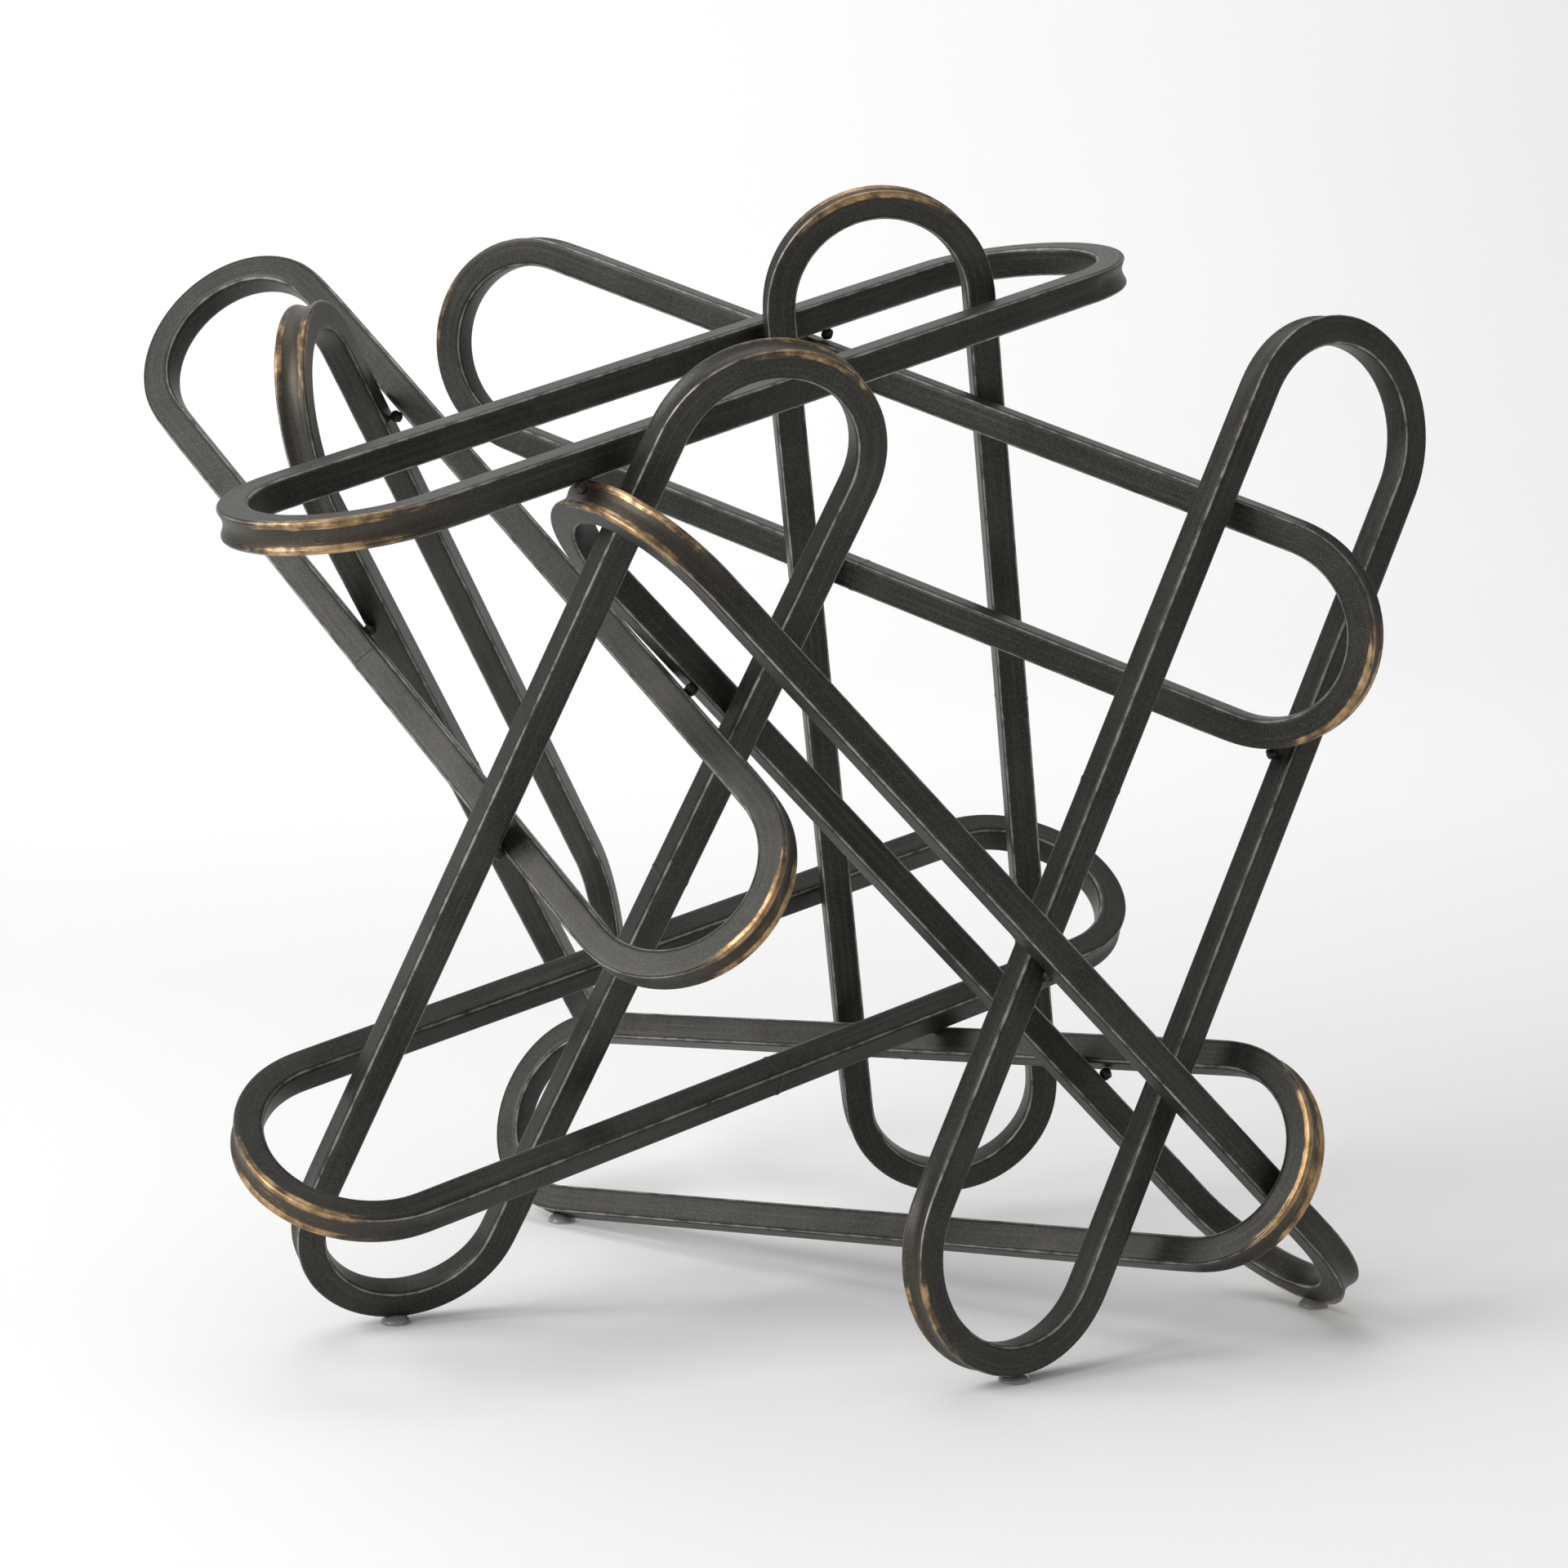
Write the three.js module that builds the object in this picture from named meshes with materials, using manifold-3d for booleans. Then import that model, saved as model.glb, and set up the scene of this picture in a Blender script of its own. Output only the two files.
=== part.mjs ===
// Tabletop link sculpture: ten long oval links, each bent from square steel tube and
// butt-welded shut, threaded through each other and tack-welded into one rigid pile.
// Units are millimetres, +Z is up, and the pile is seen from the front along +Y.

import * as THREE from 'three';
import { mergeVertices } from 'three/addons/utils/BufferGeometryUtils.js';
import Module from 'manifold-3d';

const wasm = await Module();
wasm.setup();

// ---- driving dimensions -------------------------------------------------------------

const TUBE = 8; // outside width of the square tube
const CORNER = 1.3; // outside corner radius of the tube
const BEND_STEPS = 12; // straight facets in one half-turn bend
const FIT_GAP = 0.3; // clearance between pieces that touch

const SEAM_GAP = 1.6; // room left between the two ends of a bent bar
const SEAM_PROUD = 0.3; // how far the ground butt weld stands above the tube

const WELD_REACH = 1.0; // links whose faces come closer than this are welded
const WELD_RADIUS = 2.7; // size of one tack-weld bead
const WELD_SINK = 0.9; // how far a bead's middle sits inside the crotch of two bars
const SHARPEST_CROTCH = 0.25; // radians; a sharper crotch is filled only this far out
const NEAR_BARS = 1.5 * TUBE; // centrelines further apart than this never touch
const SAMPLE_STEP = 1.5; // spacing of the points used to find where links meet

const BEAD_SIDES = 10; // facets round a weld bead
const BEAD_RINGS = 7; // facets from its top to its bottom

const PAD_RADIUS = 4; // clear bumper pad under a foot
const PAD_HEIGHT = 2.4;
const PAD_RIM = 0.8; // height of the pad's straight edge
const PAD_TOP = 2.8; // radius of its flat top
const PAD_SIDES = 16;

// Each link: the middle of its oval, where its long axis points (heading about +Z from
// +X, climb above the horizontal), its roll about that axis, the length of its straight
// runs, the radius of its end bends, and which of its two bars holds the butt weld.
const LINKS = {
  high_left: {
    at: [-83, -32, 191], heading: 130, climb: 32, roll: -50.5,
    straight: 225, bend: 26, seam: 1,
  },
  rear_left: {
    at: [-84.5, 48.5, 155.5], heading: -110, climb: 44, roll: -75.5,
    straight: 230, bend: 28, seam: 1,
  },
  front_left: {
    at: [-47.5, -76.5, 131], heading: -31, climb: 61.5, roll: -34.5,
    straight: 228, bend: 26.5, seam: 1,
  },
  top: {
    at: [-16, -46, 246.5], heading: 44.5, climb: 12, roll: 2,
    straight: 231, bend: 28.5, seam: -1,
  },
  upright: {
    at: [40, 28.5, 153.5], heading: -112.5, climb: 75.5, roll: 32,
    straight: 232, bend: 27, seam: 1,
  },
  rear_high: {
    at: [31.5, 15.5, 217], heading: -26, climb: -18, roll: -88.5,
    straight: 228, bend: 26.5, seam: 1,
  },
  front_right: {
    at: [103.5, -52.5, 132.5], heading: 42, climb: 59.5, roll: 84,
    straight: 228, bend: 28.5, seam: 1,
  },
  long_diagonal: {
    at: [51, -68.5, 114], heading: -155, climb: 46, roll: 4.5,
    straight: 243, bend: 28, seam: 1,
  },
  middle: {
    at: [-17, -10.5, 77.5], heading: 38.5, climb: 10, roll: 29.5,
    straight: 223, bend: 28.5, seam: -1,
  },
  low: {
    at: [30.5, 10, 39], heading: -37, climb: 5, roll: 62,
    straight: 212, bend: 26.5, seam: 1,
  },
};

// The links that stand on the table, each with a bumper pad under its lowest point.
const FEET = ['front_left', 'front_right', 'long_diagonal', 'low'];

// ---- materials ----------------------------------------------------------------------

const tubeFinish = new THREE.MeshStandardMaterial({ color: 0x3b3a36, roughness: 0.45, metalness: 0.6 });
const seamFinish = new THREE.MeshStandardMaterial({ color: 0x42413c, roughness: 0.5, metalness: 0.6 });
const weldFinish = new THREE.MeshStandardMaterial({ color: 0x2b2a27, roughness: 0.6, metalness: 0.5 });
const padFinish = new THREE.MeshStandardMaterial({ color: 0xd9dad6, roughness: 0.35, metalness: 0 });

// ---- solids -------------------------------------------------------------------------

// A closed three.js geometry as a solid that can be joined and cut.
function toSolid(geometry) {
  const bare = geometry.clone();
  bare.deleteAttribute('normal');
  bare.deleteAttribute('uv');
  const merged = mergeVertices(bare, 1e-4);
  return new wasm.Manifold(
    new wasm.Mesh({
      numProp: 3,
      vertProperties: new Float32Array(merged.attributes.position.array),
      triVerts: new Uint32Array(merged.index.array),
    }),
  );
}

function toGeometry(solid) {
  const mesh = solid.getMesh();
  const geometry = new THREE.BufferGeometry();
  geometry.setAttribute('position', new THREE.BufferAttribute(mesh.vertProperties, 3));
  geometry.setIndex(new THREE.BufferAttribute(mesh.triVerts, 1));
  geometry.computeVertexNormals();
  return geometry;
}

// A cut can leave crumbs, so a piece keeps only its largest body.
function largestBody(solid) {
  const bodies = solid.decompose();
  return bodies.reduce((best, body) => (body.volume() > best.volume() ? body : best));
}

// ---- the link -----------------------------------------------------------------------

// Centreline of one link in its own plane: it starts at the butt weld in the middle of
// the +Y bar, runs round both bends and comes back to the weld. The parameter steps
// from one facet ring to the next, so the straight runs take a single step each.
class LinkPath extends THREE.Curve {
  constructor(straight, bend, endGap) {
    super();
    this.straight = straight;
    this.bend = bend;
    const turn = Math.PI * bend;
    const half = straight / 2;
    const total = 2 * straight + 2 * turn;
    this.rings = [endGap / 2];
    for (const start of [half, half + turn + straight]) {
      for (let i = 0; i <= BEND_STEPS; i++) this.rings.push(start + (turn * i) / BEND_STEPS);
    }
    this.rings.push(total - endGap / 2);
  }

  get steps() {
    return this.rings.length - 1;
  }

  // Distance along the bar at parameter t.
  distance(t) {
    const place = t * this.steps;
    const ring = Math.min(Math.floor(place), this.steps - 1);
    return THREE.MathUtils.lerp(this.rings[ring], this.rings[ring + 1], place - ring);
  }

  // Position and direction at a distance along the bar.
  locate(distance) {
    const half = this.straight / 2;
    const turn = Math.PI * this.bend;
    const near = half + turn;
    const far = near + this.straight;
    const onBend = (centreX, angle) => ({
      point: new THREE.Vector3(centreX + this.bend * Math.cos(angle), this.bend * Math.sin(angle), 0),
      along: new THREE.Vector3(Math.sin(angle), -Math.cos(angle), 0),
    });
    if (distance <= half) {
      return { point: new THREE.Vector3(distance, this.bend, 0), along: new THREE.Vector3(1, 0, 0) };
    }
    if (distance < near) return onBend(half, Math.PI / 2 - (distance - half) / this.bend);
    if (distance <= far) {
      const x = half - (distance - near);
      return { point: new THREE.Vector3(x, -this.bend, 0), along: new THREE.Vector3(-1, 0, 0) };
    }
    if (distance < far + turn) return onBend(-half, -Math.PI / 2 - (distance - far) / this.bend);
    const x = -half + (distance - far - turn);
    return { point: new THREE.Vector3(x, this.bend, 0), along: new THREE.Vector3(1, 0, 0) };
  }

  getPoint(t) {
    return this.locate(this.distance(t)).point;
  }

  getPointAt(u) {
    return this.getPoint(u);
  }

  getTangentAt(u) {
    return this.locate(this.distance(u)).along;
  }
}

// Cross-section of the tube: a square with rounded corners.
function tubeSection(width, corner) {
  const inner = width / 2 - corner;
  const section = new THREE.Shape();
  for (let side = 0; side < 4; side++) {
    const angle = (side * Math.PI) / 2;
    const centre = new THREE.Vector2(inner, inner).rotateAround(new THREE.Vector2(), angle);
    section.absarc(centre.x, centre.y, corner, angle, angle + Math.PI / 2, false);
  }
  return section;
}

// The bent bar; grow makes it thicker all round, to cut its neighbours back.
function linkGeometry(link, endGap, grow = 0) {
  const path = new LinkPath(link.straight, link.bend, endGap);
  const section = tubeSection(TUBE + 2 * grow, CORNER + grow);
  const geometry = new THREE.ExtrudeGeometry(section, {
    steps: path.steps,
    extrudePath: path,
    curveSegments: 1,
  });
  if (link.seam < 0) geometry.rotateZ(Math.PI);
  return geometry;
}

// The ground butt weld that closes a link, a short collar between the bar's two ends.
function seamGeometry(link) {
  const length = SEAM_GAP - 2 * FIT_GAP;
  const geometry = new THREE.ExtrudeGeometry(tubeSection(TUBE + 2 * SEAM_PROUD, CORNER + SEAM_PROUD), {
    depth: length,
    bevelEnabled: false,
    curveSegments: 1,
  });
  geometry.translate(0, 0, -length / 2);
  geometry.rotateY(Math.PI / 2);
  geometry.translate(0, link.bend * link.seam, 0);
  return geometry;
}

// A link's own frame inside the pile.
function linkGroup(link) {
  const group = new THREE.Group();
  const radians = THREE.MathUtils.degToRad;
  group.position.set(...link.at);
  group.rotation.set(radians(link.roll), -radians(link.climb), radians(link.heading), 'ZYX');
  group.updateMatrixWorld(true);
  return group;
}

// ---- where links meet ---------------------------------------------------------------

// Points along a link in the pile's frame, each with its direction and section axes.
function samplesOf(link, matrix) {
  const path = new LinkPath(link.straight, link.bend, 0);
  const total = path.distance(1);
  const count = Math.round(total / SAMPLE_STEP);
  const samples = [];
  for (let i = 0; i < count; i++) {
    const { point, along } = path.locate((total * i) / count);
    const across = new THREE.Vector3(-along.y, along.x, 0);
    samples.push({
      point: point.applyMatrix4(matrix),
      along: along.transformDirection(matrix),
      across: across.transformDirection(matrix),
      flat: new THREE.Vector3(0, 0, 1).transformDirection(matrix),
    });
  }
  return samples;
}

// How far the tube's surface reaches from its centreline in one direction.
function reachOf(sample, direction) {
  const inner = TUBE / 2 - CORNER;
  const sides = Math.abs(sample.across.dot(direction)) + Math.abs(sample.flat.dot(direction));
  return inner * sides + CORNER;
}

// Where two sampled bars pass each other: the middle of their shortest link, the
// direction across both, and the clear distance between their faces.
function passing(first, second) {
  const apart = second.point.clone().sub(first.point);
  const normal = first.along.clone().cross(second.along).normalize();
  const clear = Math.abs(apart.dot(normal)) - reachOf(first, normal) - reachOf(second, normal);
  const middle = first.point.clone().add(second.point).multiplyScalar(0.5);
  return { middle, normal, clear, first, second, distance: apart.length() };
}

// Every place where two links come within welding reach.
function meetings(samplesA, samplesB) {
  const crossings = samplesA.map((first) => {
    const distances = samplesB.map((second) => first.point.distanceToSquared(second.point));
    const index = distances.indexOf(Math.min(...distances));
    return passing(first, samplesB[index]);
  });
  return crossings.filter((here, i) => {
    const before = crossings.at(i - 1).distance;
    const after = crossings[(i + 1) % crossings.length].distance;
    const nearest = here.distance < before && here.distance <= after;
    return nearest && here.distance < NEAR_BARS && here.clear < WELD_REACH;
  });
}

// A tack weld: a bead in the narrow angle between two bars, on its lower side, cut back
// to leave the fit gap around both.
function weldBead(meeting, cutters) {
  const { middle, first, second } = meeting;
  const cosine = first.along.dot(second.along);
  const other = second.along.clone().multiplyScalar(Math.sign(cosine) || 1);
  const bisector = first.along.clone().add(other).normalize();
  if (bisector.z > 0) bisector.negate();
  const halfAngle = Math.acos(Math.min(Math.abs(cosine), 1)) / 2;
  const toCrotch = TUBE / 2 / Math.sin(Math.max(halfAngle, SHARPEST_CROTCH));
  const centre = middle.clone().addScaledVector(bisector, toCrotch - WELD_SINK);
  const ball = new THREE.SphereGeometry(WELD_RADIUS, BEAD_SIDES, BEAD_RINGS);
  ball.translate(centre.x, centre.y, centre.z);
  let solid = toSolid(ball);
  for (const cutter of cutters) solid = solid.subtract(cutter);
  return { geometry: toGeometry(largestBody(solid)), centre };
}

// ---- bumper pads --------------------------------------------------------------------

// The lowest point of a link, averaged over the corners that share that height.
function lowestPoint(geometry) {
  const points = geometry.attributes.position;
  geometry.computeBoundingBox();
  const floor = geometry.boundingBox.min.z;
  const lowest = new THREE.Vector3();
  let count = 0;
  for (let i = 0; i < points.count; i++) {
    if (points.getZ(i) < floor + FIT_GAP) {
      lowest.add(new THREE.Vector3().fromBufferAttribute(points, i));
      count += 1;
    }
  }
  return lowest.divideScalar(count).setZ(floor);
}

function padGeometry(foot, cutters) {
  const profile = new THREE.Path();
  profile.moveTo(0, 0);
  profile.lineTo(PAD_RADIUS, 0);
  profile.lineTo(PAD_RADIUS, PAD_RIM);
  profile.lineTo(PAD_TOP, PAD_HEIGHT);
  profile.lineTo(0, PAD_HEIGHT);
  const pad = new THREE.LatheGeometry(profile.getPoints(1), PAD_SIDES);
  pad.rotateX(Math.PI / 2);
  pad.translate(foot.x, foot.y, 0);
  let solid = toSolid(pad);
  for (const cutter of cutters) solid = solid.subtract(cutter);
  return toGeometry(largestBody(solid));
}

// ---- the pile -----------------------------------------------------------------------

const sculpture = new THREE.Group();

// Adds a piece whose geometry is in the pile's frame, placed about its own centre.
function addPiece(name, geometry, material, centre) {
  geometry.translate(-centre.x, -centre.y, -centre.z);
  const mesh = new THREE.Mesh(geometry, material);
  mesh.name = name;
  mesh.position.copy(centre);
  sculpture.add(mesh);
}

const placed = Object.entries(LINKS).map(([name, link]) => {
  const group = linkGroup(link);
  const bar = new THREE.Mesh(linkGeometry(link, SEAM_GAP), tubeFinish);
  bar.name = `${name}_link`;
  const seam = new THREE.Mesh(seamGeometry(link), seamFinish);
  seam.name = `${name}_seam_weld`;
  group.add(bar, seam);
  sculpture.add(group);
  const matrix = group.matrixWorld;
  const body = linkGeometry(link, SEAM_GAP).applyMatrix4(matrix);
  const cutter = toSolid(linkGeometry(link, SEAM_GAP, FIT_GAP).applyMatrix4(matrix));
  return { name, body, cutter, samples: samplesOf(link, matrix) };
});

placed.forEach((first, i) => {
  for (const second of placed.slice(i + 1)) {
    meetings(first.samples, second.samples).forEach((meeting, k) => {
      const bead = weldBead(meeting, [first.cutter, second.cutter]);
      const suffix = k ? `_${k + 1}` : '';
      addPiece(`weld_${first.name}_${second.name}${suffix}`, bead.geometry, weldFinish, bead.centre);
    });
  }
});

for (const name of FEET) {
  const { body, cutter } = placed.find((link) => link.name === name);
  const foot = lowestPoint(body);
  addPiece(`${name}_foot_pad`, padGeometry(foot, [cutter]), padFinish, foot.clone().setZ(0));
}

// The origin is on the table under the middle of the pile.
const extent = new THREE.Box3().setFromObject(sculpture, true);
const middle = extent.getCenter(new THREE.Vector3());
sculpture.position.set(-middle.x, -middle.y, -extent.min.z);

const root = new THREE.Group();
root.add(sculpture);

export default root;
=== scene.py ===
# Looks for a tabletop sculpture of ten oval links bent from square steel tube, threaded
# through each other and tack-welded into one leaning pile. Lengths are in metres.

import math

import bmesh
import bpy
import numpy as np
from mathutils import Matrix, Vector, noise
from mathutils.bvhtree import BVHTree


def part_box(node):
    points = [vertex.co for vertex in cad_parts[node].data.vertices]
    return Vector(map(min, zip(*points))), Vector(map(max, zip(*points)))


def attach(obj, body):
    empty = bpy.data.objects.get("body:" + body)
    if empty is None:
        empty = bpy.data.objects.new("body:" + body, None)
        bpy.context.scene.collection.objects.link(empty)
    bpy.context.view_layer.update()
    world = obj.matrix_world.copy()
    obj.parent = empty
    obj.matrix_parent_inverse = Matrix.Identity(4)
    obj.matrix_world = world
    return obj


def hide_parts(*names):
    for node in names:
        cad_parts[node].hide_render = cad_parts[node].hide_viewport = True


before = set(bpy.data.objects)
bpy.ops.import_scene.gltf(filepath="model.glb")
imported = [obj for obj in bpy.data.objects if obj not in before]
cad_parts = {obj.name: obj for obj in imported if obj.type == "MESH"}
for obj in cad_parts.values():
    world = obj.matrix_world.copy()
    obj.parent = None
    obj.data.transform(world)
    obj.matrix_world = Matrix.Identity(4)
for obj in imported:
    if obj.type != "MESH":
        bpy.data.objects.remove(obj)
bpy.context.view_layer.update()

MM = 0.001
TUBE_CORNER = 1.3 * MM  # outside corner radius of the square tube
BEND_RINGS = 44  # rings of points round one half-turn bend
RUN_RINGS = 26  # rings along one straight run
CORNER_POINTS = 6  # points round one corner of the tube's section
OUTER_SINK = 1.35 * MM  # how far the outer wall is pulled in at a bend
INNER_BULGE = 0.2 * MM  # how far the inner wall is pushed out at a bend
BEND_EASE = 7 * MM  # length over which the tube goes from straight to bent shape
GOLD_SPREAD = 0.36  # how far the gold runs either side of its middle, in half turns
RIDGE_REACH = 0.9 * MM  # how far the gold runs in from an outer ridge of a bend
BUTT_WIDTH = 2.0 * MM  # length of the ground butt weld along the tube
BUTT_PROUD = 0.12 * MM
BUTT_ROWS = 9  # rows of points along the butt weld
BUTT_EDGE = 0.08 * MM  # how far the weld's two edges lie under the tube's surface
BUTT_RIPPLE = 0.06 * MM
BUTT_WANDER = 0.3 * MM  # how far its edges stray along the tube
BEAD_RADIUS = 1.7 * MM
DISH_POWER = 1.3  # how squarely a bent wall dips between its two ridges
FLAT_PLAY = 0.01 * MM  # within this of the outer wall counts as on it
PAD_SIDES = 40
PAD_STEPS = 8  # steps up the pad's dome
PAD_FOOT = 0.93  # the pad's flat underside, as a share of its radius
PAD_CHAMFER = 0.12 * MM
PAD_WALL = 0.5 * MM  # where the pad's upright rim ends and its dome starts
FLOOR_SIZE = 40.0
WALL_PLACE = 2.6  # how far back the backdrop stands
WALL_CURVE = 1.2  # radius of the curve from the floor up to it
WALL_STEPS = 16
WALL_TOP = 4.5  # how high the backdrop rises behind the floor
CAMERA_PLACE = (0.0031, -1.0480, 0.2901)
CAMERA_DIP = 8.29  # degrees it looks below level
LENS = 90.56  # focal length in millimetres, on a film 36 mm wide
LINK_APART = 1.7  # keeps one link's streaks from repeating on the next
WALL_SHARES = (0.0, 0.12, 0.3, 0.5, 0.7, 0.88)  # points across one wall of the tube

# The gold brushed on the higher and the lower bend of each link: how much, from 0 to 1,
# and where its middle is, from 0 at the bar with the butt weld to 1 at the other bar.
GOLD = {
    "high_left": ((0.3, 0.7), (0.95, 0.6)),
    "rear_left": ((0.8, 0.5), (0.3, 0.5)),
    "front_left": ((0.8, 0.5), (0.35, 0.5)),
    "top": ((0.15, 0.5), (0.88, 0.28)),
    "upright": ((0.95, 0.5), (0.5, 0.4)),
    "rear_high": ((0.7, 0.5), (0.95, 0.4)),
    "front_right": ((0.2, 0.5), (0.75, 0.3)),
    "long_diagonal": ((0.9, 0.3), (1.0, 0.5)),
    "middle": ((0.2, 0.5), (0.95, 0.4)),
    "low": ((1.2, 0.5), (0.2, 0.5)),
}


# ---- colours and shader helpers --------------------------------------------------------


def rgb(code):
    """An sRGB hex colour as the linear colour that shaders take."""
    parts = [int(code[i : i + 2], 16) / 255 for i in (1, 3, 5)]
    linear = [c / 12.92 if c <= 0.04045 else ((c + 0.055) / 1.055) ** 2.4 for c in parts]
    return (*linear, 1.0)


def add(tree, kind, settings=None, inputs=None):
    """Adds one shader node. An input is a value, or another node's output to link from."""
    made = tree.nodes.new(kind)
    for key, value in (settings or {}).items():
        setattr(made, key, value)
    for key, value in (inputs or {}).items():
        if isinstance(value, bpy.types.NodeSocket):
            tree.links.new(value, made.inputs[key])
        else:
            made.inputs[key].default_value = value
    return made


def maths(tree, operation, a, b=0.0):
    """A maths node's result."""
    return add(tree, "ShaderNodeMath", {"operation": operation}, {0: a, 1: b}).outputs[0]


def ramp(tree, value, low, high, to_low=0.0, to_high=1.0):
    """A smooth step of value from low to high."""
    node = add(
        tree,
        "ShaderNodeMapRange",
        {"interpolation_type": "SMOOTHSTEP"},
        {"Value": value, 1: low, 2: high, 3: to_low, 4: to_high},
    )
    return node.outputs[0]


def blend(tree, factor, a, b):
    """A mix of two colours."""
    node = add(tree, "ShaderNodeMix", {"data_type": "RGBA"}, {0: factor, 6: a, 7: b})
    return node.outputs[2]


def speckle(tree, where, size, detail=2.0, rough=0.5):
    """Noise from 0 to 1 whose grains are about size metres across."""
    settings = {"Vector": where, "Scale": 1 / size, "Detail": detail, "Roughness": rough}
    return add(tree, "ShaderNodeTexNoise", None, settings).outputs[0]


def stretched(tree, where, sizes):
    """Coordinates scaled so that a noise of size 1 has these sizes, in metres."""
    scale = tuple(1 / s for s in sizes)
    node = add(tree, "ShaderNodeMapping", None, {"Vector": where, "Scale": scale})
    return node.outputs[0]


def new_material(name):
    """An empty node material with its Principled shader."""
    material = bpy.data.materials.new(name)
    material.use_nodes = True
    tree = material.node_tree
    tree.nodes.clear()
    shader = add(tree, "ShaderNodeBsdfPrincipled")
    add(tree, "ShaderNodeOutputMaterial", None, {0: shader.outputs[0]})
    return material, tree, shader


def connect(tree, shader, key, value):
    tree.links.new(value, shader.inputs[key])


def bump(tree, height, depth, normal=None):
    """A bump of that real depth in metres."""
    inputs = {"Height": height, "Distance": depth, "Strength": 1.0}
    if normal is not None:
        inputs["Normal"] = normal
    return add(tree, "ShaderNodeBump", None, inputs).outputs[0]


# ---- materials -------------------------------------------------------------------------


def layer(tree, name, output="Fac"):
    """A value kept on the mesh's points."""
    return add(tree, "ShaderNodeAttribute", {"attribute_name": name}).outputs[output]


def satin_bronze_lacquer():
    """Satin bronze-black lacquer on drawn steel tube: fine metallic grain, lengthwise
    streaks, corners lightened partly as rubbed wear and partly as a painted highlight, and
    antique gold dry-brushed on the ridges of the bends."""
    material, tree, shader = new_material("satin_bronze_black_lacquer_gold_rubbed")
    place = add(tree, "ShaderNodeTexCoord").outputs["Object"]
    tube = layer(tree, "tube_place", "Vector")
    gold, ridge = layer(tree, "gold"), layer(tree, "ridge")
    outer, corner = layer(tree, "outer"), layer(tree, "corner")

    # The metal flake is drawn about 0.2 mm across, coarser than life, so that it shows.
    grain = speckle(tree, place, 0.22 * MM, 2.0, 0.65)
    cloud = speckle(tree, place, 18 * MM, 3.0)
    patch = speckle(tree, place, 4.5 * MM, 4.0, 0.6)
    streak = speckle(tree, stretched(tree, tube, (60 * MM, 1.1 * MM, 1.0)), 1.0, 3.0, 0.55)
    hair = speckle(tree, stretched(tree, tube, (12 * MM, 0.25 * MM, 1.0)), 1.0, 2.0, 0.6)
    brush = speckle(tree, stretched(tree, tube, (8 * MM, 0.6 * MM, 1.0)), 1.0, 5.0, 0.65)
    scratch = speckle(tree, stretched(tree, tube, (4 * MM, 0.22 * MM, 1.0)), 1.0, 3.0, 0.6)

    dark = blend(tree, ramp(tree, cloud, 0.3, 0.7), rgb("#242320"), rgb("#302f2b"))
    dark = blend(tree, ramp(tree, streak, 0.45, 0.75, 0.0, 0.55), dark, rgb("#464540"))
    dark = blend(tree, ramp(tree, hair, 0.35, 0.2, 0.0, 0.4), dark, rgb("#1f1e1b"))
    dark = blend(tree, ramp(tree, grain, 0.54, 0.74, 0.0, 0.8), dark, rgb("#74726b"))

    # A lighter line along the middle of each rounded corner: partly rubbed wear, partly a painted
    # highlight.
    corner_wear_and_highlight = maths(tree, "MULTIPLY", corner, maths(tree, "ADD", patch, 0.45))
    corner_wear_and_highlight = ramp(tree, corner_wear_and_highlight, 0.62, 1.02, 0.0, 0.85)
    colour = blend(tree, corner_wear_and_highlight, dark, rgb("#a09c92"))

    on_ridge = maths(tree, "ADD", brush, maths(tree, "MULTIPLY", patch, 0.7))
    on_ridge = maths(tree, "MULTIPLY", on_ridge, maths(tree, "MULTIPLY", gold, ridge))
    on_face = maths(tree, "ADD", scratch, maths(tree, "MULTIPLY", patch, 0.35))
    on_face = maths(tree, "MULTIPLY", on_face, maths(tree, "MULTIPLY", gold, outer))
    on_face = maths(tree, "MULTIPLY", on_face, 0.8)
    leaf = ramp(tree, maths(tree, "MAXIMUM", on_ridge, on_face), 0.52, 0.78, 0.0, 0.9)
    tint = maths(tree, "MULTIPLY", gold, maths(tree, "MAXIMUM", ridge, outer))
    colour = blend(tree, ramp(tree, tint, 0.2, 1.0, 0.0, 0.45), colour, rgb("#4c4234"))
    warm = blend(tree, ramp(tree, patch, 0.35, 0.7), rgb("#8f7350"), rgb("#c4a378"))
    colour = blend(tree, leaf, colour, warm)
    connect(tree, shader, "Base Color", colour)

    connect(tree, shader, "Metallic", ramp(tree, leaf, 0.0, 1.0, 0.55, 0.95))
    rough = ramp(tree, streak, 0.3, 0.7, 0.37, 0.45)
    rough = maths(tree, "ADD", rough, ramp(tree, grain, 0.3, 0.7, -0.04, 0.06))
    rough = maths(tree, "SUBTRACT", rough, maths(tree, "MULTIPLY", leaf, 0.08))
    connect(tree, shader, "Roughness", rough)

    relief = bump(tree, grain, 0.03 * MM)
    relief = bump(tree, hair, 0.02 * MM, relief)
    relief = bump(tree, cloud, 0.3 * MM, relief)
    relief = bump(tree, leaf, 0.04 * MM, relief)
    connect(tree, shader, "Normal", relief)
    return material


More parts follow.
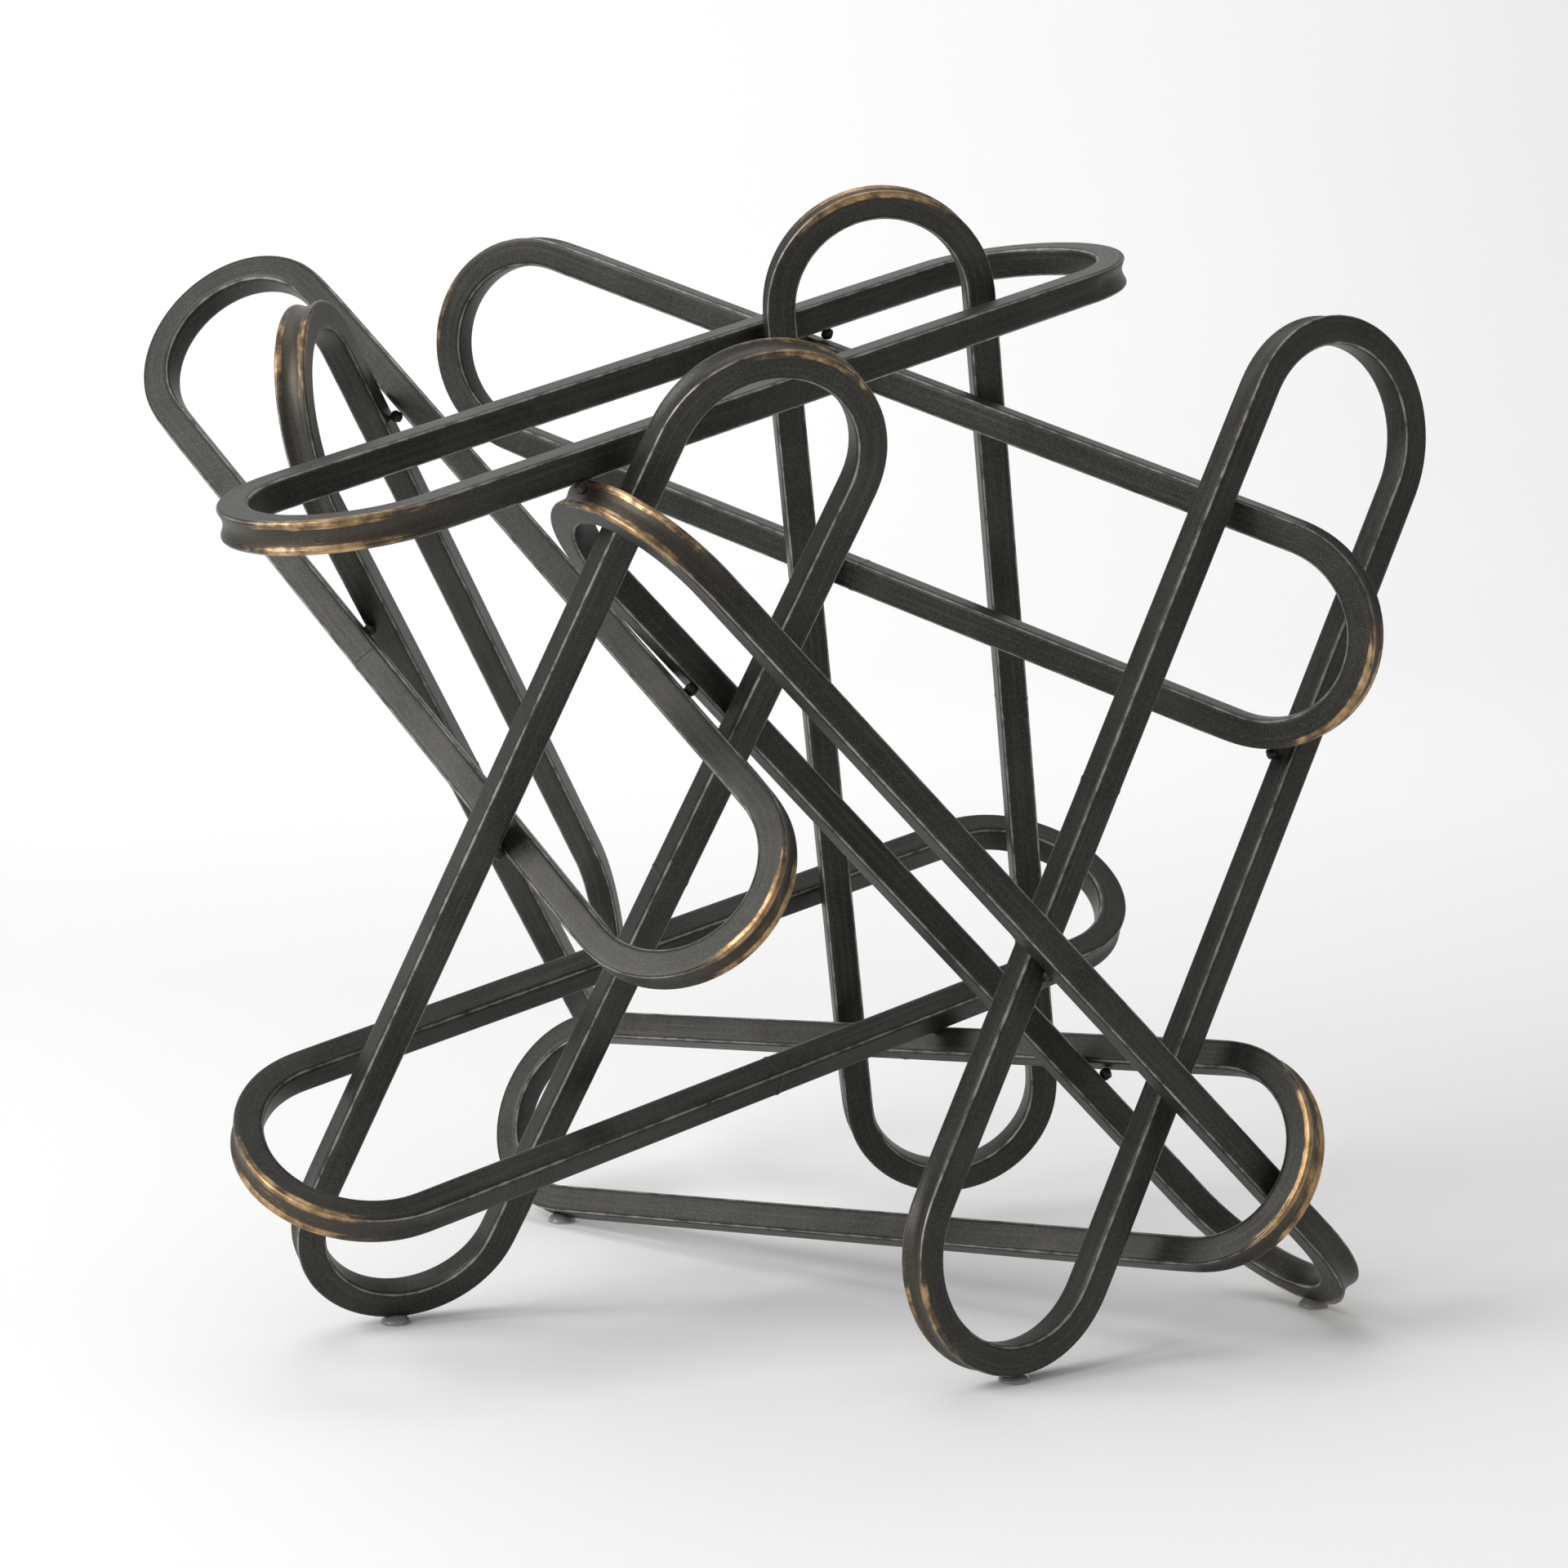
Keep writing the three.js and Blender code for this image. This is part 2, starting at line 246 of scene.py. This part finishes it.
def lacquered_weld():
    """The same dark lacquer over rough weld metal, pitted and a little glossier on top."""
    material, tree, shader = new_material("dark_lacquer_over_weld")
    place = add(tree, "ShaderNodeTexCoord").outputs["Object"]
    grain = speckle(tree, place, 0.4 * MM, 3.0, 0.6)
    lump = speckle(tree, place, 1.6 * MM, 2.0)
    colour = blend(tree, ramp(tree, lump, 0.35, 0.7), rgb("#292824"), rgb("#3b3934"))
    colour = blend(tree, ramp(tree, grain, 0.6, 0.8, 0.0, 0.5), colour, rgb("#5f5b50"))
    connect(tree, shader, "Base Color", colour)
    shader.inputs["Metallic"].default_value = 0.55
    connect(tree, shader, "Roughness", ramp(tree, grain, 0.3, 0.7, 0.4, 0.55))
    relief = bump(tree, lump, 0.25 * MM)
    connect(tree, shader, "Normal", bump(tree, grain, 0.06 * MM, relief))
    return material


def clear_bumper():
    """Clear soft polyurethane, a little cloudy, with dust on its surface."""
    material, tree, shader = new_material("clear_soft_polyurethane")
    place = add(tree, "ShaderNodeTexCoord").outputs["Object"]
    dust = speckle(tree, place, 0.6 * MM, 3.0, 0.6)
    colour = blend(tree, ramp(tree, dust, 0.5, 0.8), rgb("#eef0ee"), rgb("#cfcfc9"))
    connect(tree, shader, "Base Color", colour)
    connect(tree, shader, "Roughness", ramp(tree, dust, 0.3, 0.8, 0.12, 0.4))
    shader.inputs["Transmission Weight"].default_value = 0.75
    shader.inputs["IOR"].default_value = 1.49
    connect(tree, shader, "Normal", bump(tree, dust, 0.02 * MM))
    return material


# ---- the links -------------------------------------------------------------------------


def corners_of(node):
    """A CAD node's points as an array."""
    return np.array([v.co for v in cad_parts[node].data.vertices], float)


def link_frame(name):
    """Where an oval link lies: its centre, its three directions (long axis towards the
    higher bend, across towards the butt weld, and square to its plane), the length of its
    straight runs, the radius of its bends and the width of its tube."""
    points = corners_of(f"{name}_link")
    middle = points.mean(0)
    _, axes = np.linalg.eigh(np.cov((points - middle).T))
    along, across = axes[:, 2], axes[:, 1]
    if along[2] < 0:
        along = -along
    low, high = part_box(f"{name}_seam_weld")
    seam = (np.array(low) + np.array(high)) / 2
    if (seam - middle) @ across < 0:
        across = -across
    directions = np.array([along, across, np.cross(along, across)])
    spread = (points - middle) @ directions.T
    first, last = spread.min(0), spread.max(0)
    centre = middle + ((first + last) / 2) @ directions
    length, width, tube = last - first
    return {
        "centre": centre,
        "directions": directions,
        "straight": length - width,
        "bend": (width - tube) / 2,
        "tube": tube,
    }


def rings_of(link):
    """Stations round the link, starting at the butt weld: the distance, the point and
    outward direction in the link's plane, and how bent the tube is there."""
    half, radius = link["straight"] / 2, link["bend"]
    turn = math.pi * radius
    marks = list(np.linspace(0, half, RUN_RINGS // 2, endpoint=False))
    marks += list(half + turn * np.linspace(0, 1, BEND_RINGS, endpoint=False))
    marks += list(half + turn + 2 * half * np.linspace(0, 1, RUN_RINGS, endpoint=False))
    marks += list(3 * half + turn + turn * np.linspace(0, 1, BEND_RINGS, endpoint=False))
    marks += list(3 * half + 2 * turn + np.linspace(0, half, RUN_RINGS // 2 + 1))
    stations = []
    for mark in marks:
        near, far = mark - half, mark - 3 * half - turn
        if near <= 0:
            point, out = (mark, radius), (0, 1)
        elif near < turn:
            angle = math.pi / 2 - near / radius
            out = (math.cos(angle), math.sin(angle))
            point = (half + radius * out[0], radius * out[1])
        elif far <= 0:
            point, out = (half - (near - turn), -radius), (0, -1)
        elif far < turn:
            angle = -math.pi / 2 - far / radius
            out = (math.cos(angle), math.sin(angle))
            point = (-half + radius * out[0], radius * out[1])
        else:
            point, out = (-half + far - turn, radius), (0, 1)
        into_bend = max(min(near, turn - near), min(far, turn - far))
        stations.append((mark, point, out, into_bend))
    return stations


def smooth(value):
    """A smooth step from 0 to 1."""
    value = min(max(value, 0.0), 1.0)
    return value * value * (3 - 2 * value)


def section_of(width):
    """The points round the tube's section: how far out and to the side each one is, its
    distance round the section, how near the middle of a corner it is, how near one of the
    two outer corners, and whether it is on the outer wall."""
    half, inner = width / 2, width / 2 - TUBE_CORNER
    places = []
    for quarter in range(4):
        run = [(half, -inner + 2 * inner * share, 0.0) for share in WALL_SHARES]
        for i in range(CORNER_POINTS):
            angle = (math.pi / 2) * i / CORNER_POINTS
            out = inner + TUBE_CORNER * math.cos(angle)
            side = inner + TUBE_CORNER * math.sin(angle)
            run.append((out, side, math.sin(2 * angle) ** 2))
        turn = Matrix.Rotation(quarter * math.pi / 2, 2)
        places += [(*(turn @ Vector((out, side))), near) for out, side, near in run]
    section, distance = [], 0.0
    for i, (out, side, near) in enumerate(places):
        if i:
            distance += math.dist(places[i - 1][:2], (out, side))
        past = math.hypot(abs(side) - inner, out - inner) - TUBE_CORNER
        ridge = smooth(1 - past / RIDGE_REACH) if out > 0 else 0.0
        outer = 1.0 if out > half - FLAT_PLAY else 0.3 * max(0.0, out / half)
        section.append((out, side, distance, near, ridge, outer))
    return section


def gold_here(mark, link, amounts):
    """How much gold a station of a link carries."""
    half, turn = link["straight"] / 2, math.pi * link["bend"]
    shares = ((mark - half) / turn, 1 - (mark - 3 * half - turn) / turn)
    levels = [a * math.exp(-(((q - p) / GOLD_SPREAD) ** 2)) for q, (a, p) in zip(shares, amounts)]
    return max(levels)


def link_mesh(name, number):
    """One link as a closed loop of tube. A bend pulls the outer wall in between two
    rounded ridges and pushes the inner wall out a little."""
    link = link_frame(name)
    section = section_of(link["tube"])
    half = link["tube"] / 2
    stations = rings_of(link)
    verts = []
    layers = {"tube_place": [], "gold": [], "corner": [], "ridge": [], "outer": []}
    for mark, point, outward, into_bend in stations:
        bent = smooth(0.5 + into_bend / BEND_EASE)
        gold = gold_here(mark, link, GOLD[name])
        for out, side, distance, corner, ridge, outer in section:
            dip = max(0.0, math.cos(math.pi / 2 * side / half)) if abs(side) < half else 0.0
            dish = dip**DISH_POWER * bent
            if out > half - TUBE_CORNER:
                out -= OUTER_SINK * dish
            elif out < TUBE_CORNER - half:
                out -= INNER_BULGE * dish
            x, y = (point[0] + outward[0] * out, point[1] + outward[1] * out)
            verts.append(link["centre"] + np.array([x, y, side]) @ link["directions"])
            layers["tube_place"].append((mark + number * LINK_APART, distance, 0.0))
            layers["gold"].append(gold)
            layers["corner"].append(corner)
            layers["ridge"].append(ridge)
            layers["outer"].append(outer)
    mesh = bpy.data.meshes.new(f"{name}_bent_link")
    mesh.from_pydata([tuple(v) for v in verts], [], band(len(stations), len(section)))
    keep_layers(mesh, layers)
    tidy(mesh)
    return mesh, link


def band(rows, columns):
    """The faces between rows of points that each go all the way round."""
    faces = []
    for row in range(rows - 1):
        for i in range(columns):
            j = (i + 1) % columns
            here, there = row * columns, (row + 1) * columns
            faces.append((here + i, there + i, there + j, here + j))
    return faces


def keep_layers(mesh, layers):
    """Keeps the values that the lacquer reads on a mesh's points."""
    for key, values in layers.items():
        if key == "tube_place":
            store(mesh, key, "FLOAT_VECTOR", "vector", values)
        else:
            store(mesh, key, "FLOAT", "value", values)


def store(mesh, name, kind, field, values):
    """Keeps one value for each point of a mesh, for its material to read."""
    layer = mesh.attributes.new(name, kind, "POINT")
    layer.data.foreach_set(field, np.array(values, np.float32).ravel())


def tidy(mesh):
    """Smooth shading with the faces pointing out."""
    work = bmesh.new()
    work.from_mesh(mesh)
    bmesh.ops.recalc_face_normals(work, faces=work.faces)
    for face in work.faces:
        face.smooth = True
    work.to_mesh(mesh)
    work.free()


def piece(mesh, name, material, slot, *nodes):
    """Puts a mesh in the scene as a piece that stands for those CAD nodes."""
    made = bpy.data.objects.new(name, mesh)
    bpy.context.scene.collection.objects.link(made)
    mesh.materials.append(material)
    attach(made, "root")
    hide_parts(*nodes)
    return made


# ---- welds and pads --------------------------------------------------------------------


def butt_weld_mesh(name, link, number):
    """The ground butt weld round the tube in the middle of one straight run, a low uneven
    band that stands a little proud."""
    section = section_of(link["tube"])
    low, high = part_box(f"{name}_seam_weld")
    centre = (np.array(low) + np.array(high)) / 2
    verts = []
    layers = {"tube_place": [], "gold": [], "corner": []}
    for row in range(BUTT_ROWS):
        share = row / (BUTT_ROWS - 1) * 2 - 1
        lift = BUTT_PROUD * (1 - share * share) - BUTT_EDGE * share * share
        for out, side, distance, corner, _, _ in section:
            wobble = noise.noise(Vector((distance / MM, share * 0.7, centre[0] / MM)))
            grown = 1 + (lift + BUTT_RIPPLE * wobble) / (link["tube"] / 2)
            x = share * BUTT_WIDTH / 2 + BUTT_WANDER * wobble
            local = np.array([x, out * grown, side * grown])
            verts.append(centre + local @ link["directions"])
            layers["tube_place"].append((x + number * LINK_APART, distance, 0.0))
            layers["gold"].append(0.0)
            layers["corner"].append(corner)
    mesh = bpy.data.meshes.new(f"{name}_butt_weld")
    mesh.from_pydata([tuple(v) for v in verts], [], band(BUTT_ROWS, len(section)))
    keep_layers(mesh, layers)
    tidy(mesh)
    return mesh


def surface_of(node):
    """A CAD node's surface, for finding its nearest point to a place."""
    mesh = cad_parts[node].data
    points = [v.co.copy() for v in mesh.vertices]
    return BVHTree.FromPolygons(points, [tuple(p.vertices) for p in mesh.polygons])


def bead_mesh(node, surfaces):
    """A lumpy tack-weld bead. It lies in the CAD bead's box, as far into the crotch
    between the two nearest links as the box lets it."""
    low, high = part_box(node)
    centre = (low + high) / 2
    hits = sorted((s.find_nearest(centre) for s in surfaces), key=lambda hit: hit[3])
    crotch = (hits[0][0] + hits[1][0]) / 2
    for axis in range(3):
        room = max(0.0, (high[axis] - low[axis]) / 2 - BEAD_RADIUS)
        centre[axis] += min(max(crotch[axis] - centre[axis], -room), room)
    work = bmesh.new()
    bmesh.ops.create_icosphere(work, subdivisions=4, radius=1.0)
    for vert in work.verts:
        where = vert.co * 1.3 + centre / MM
        lump = noise.noise(where) * 0.16 + noise.noise(where * 2.7) * 0.06
        vert.co = centre + vert.co * BEAD_RADIUS * (0.94 + lump)
    mesh = bpy.data.meshes.new(f"{node}_bead")
    work.to_mesh(mesh)
    work.free()
    tidy(mesh)
    return mesh


def pad_mesh(node):
    """A clear bumper: a low dome with a rounded rim, flat underneath."""
    low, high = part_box(node)
    centre = (low + high) / 2
    radius = (high.x - low.x) / 2
    height = high.z - low.z
    profile = [(0.0, 0.0), (radius * PAD_FOOT, 0.0), (radius, PAD_CHAMFER), (radius, PAD_WALL)]
    for i in range(1, PAD_STEPS + 1):
        angle = (math.pi / 2) * i / PAD_STEPS
        level = PAD_WALL + (height - PAD_WALL) * math.sin(angle)
        profile.append((radius * math.cos(angle), level))
    work = bmesh.new()
    rings = []
    for reach, level in profile:
        if reach < 1e-6:
            rings.append([work.verts.new((centre.x, centre.y, low.z + level))])
            continue
        ring = []
        for i in range(PAD_SIDES):
            angle = 2 * math.pi * i / PAD_SIDES
            x = centre.x + reach * math.cos(angle)
            ring.append(work.verts.new((x, centre.y + reach * math.sin(angle), low.z + level)))
        rings.append(ring)
    for lower, upper in zip(rings, rings[1:]):
        for i in range(PAD_SIDES):
            j = (i + 1) % PAD_SIDES
            below = [lower[i % len(lower)], lower[j % len(lower)]]
            above = [upper[j % len(upper)], upper[i % len(upper)]]
            work.faces.new(list(dict.fromkeys(below + above)))
    mesh = bpy.data.meshes.new(f"{node}_bumper")
    work.to_mesh(mesh)
    work.free()
    tidy(mesh)
    return mesh


# ---- the sculpture ---------------------------------------------------------------------

lacquer = satin_bronze_lacquer()
weld_lacquer = lacquered_weld()
bumper = clear_bumper()

for number, name in enumerate(GOLD):
    mesh, link = link_mesh(name, number)
    piece(mesh, f"{name}_bent_link", lacquer, "tube", f"{name}_link")
    weld = butt_weld_mesh(name, link, number)
    piece(weld, f"{name}_butt_weld", lacquer, "butt_weld", f"{name}_seam_weld")

surfaces = [surface_of(f"{name}_link") for name in GOLD]
for node in sorted(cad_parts):
    if node.startswith("weld_"):
        piece(bead_mesh(node, surfaces), f"{node}_bead", weld_lacquer, "weld_bead", node)
    elif node.endswith("_foot_pad"):
        piece(pad_mesh(node), f"{node}_bumper", bumper, "bumper", node)


# ---- floor, light and camera -----------------------------------------------------------


def floor():
    """A plain pale floor that curves up into a plain pale backdrop."""
    material, tree, shader = new_material("plain_pale_paper")
    place = add(tree, "ShaderNodeTexCoord").outputs["Object"]
    shade = speckle(tree, place, 0.4, 2.0)
    paper = blend(tree, shade, rgb("#f3f3f2"), rgb("#f6f6f5"))
    connect(tree, shader, "Base Color", paper)
    shader.inputs["Roughness"].default_value = 0.9
    work = bmesh.new()
    half, start = FLOOR_SIZE / 2, WALL_PLACE - WALL_CURVE
    profile = [(-half, 0.0), (start, 0.0)]
    for i in range(1, WALL_STEPS + 1):
        angle = (math.pi / 2) * i / WALL_STEPS
        rise = WALL_CURVE * (1 - math.cos(angle))
        profile.append((start + WALL_CURVE * math.sin(angle), rise))
    profile.append((WALL_PLACE, WALL_TOP))
    left = [work.verts.new((-half, y, z)) for y, z in profile]
    right = [work.verts.new((half, y, z)) for y, z in profile]
    for i in range(len(profile) - 1):
        work.faces.new((left[i], right[i], right[i + 1], left[i + 1])).smooth = True
    mesh = bpy.data.meshes.new("floor")
    work.to_mesh(mesh)
    work.free()
    made = bpy.data.objects.new("floor", mesh)
    bpy.context.scene.collection.objects.link(made)
    mesh.materials.append(material)


def softbox(name, at, aim, size, power, colour="#ffffff"):
    """A soft area light at one point, aimed at another."""
    lamp = bpy.data.lights.new(name, "AREA")
    lamp.shape = "RECTANGLE"
    lamp.size, lamp.size_y = size
    lamp.energy = power
    lamp.color = rgb(colour)[:3]
    made = bpy.data.objects.new(name, lamp)
    made.location = at
    made.rotation_euler = (Vector(aim) - Vector(at)).to_track_quat("-Z", "Y").to_euler()
    bpy.context.scene.collection.objects.link(made)


def surroundings(strength):
    """Even pale light from all round."""
    world = bpy.data.worlds.new("studio")
    bpy.context.scene.world = world
    world.use_nodes = True
    sky = world.node_tree.nodes["Background"]
    sky.inputs["Color"].default_value = rgb("#f4f5f6")
    sky.inputs["Strength"].default_value = strength


def camera():
    """The front view, from a little above the pile and looking slightly down."""
    lens = bpy.data.cameras.new("camera")
    lens.sensor_width = 36
    lens.lens = LENS
    lens.clip_start = 0.01
    made = bpy.data.objects.new("camera", lens)
    made.location = CAMERA_PLACE
    made.rotation_euler = (math.radians(90 - CAMERA_DIP), 0, 0)
    bpy.context.scene.collection.objects.link(made)
    bpy.context.scene.camera = made


floor()
surroundings(0.52)
middle = (0, 0, 0.15)
softbox("key", (-1.3, -0.7, 1.0), middle, (1.1, 1.1), 24)
softbox("top", (-0.3, 0.5, 1.8), middle, (1.2, 1.2), 7)
softbox("backdrop", (-0.5, 0.9, 1.4), (-0.1, 2.6, 0.9), (1.6, 0.8), 14)
camera()
bpy.context.scene.view_settings.view_transform = "Standard"
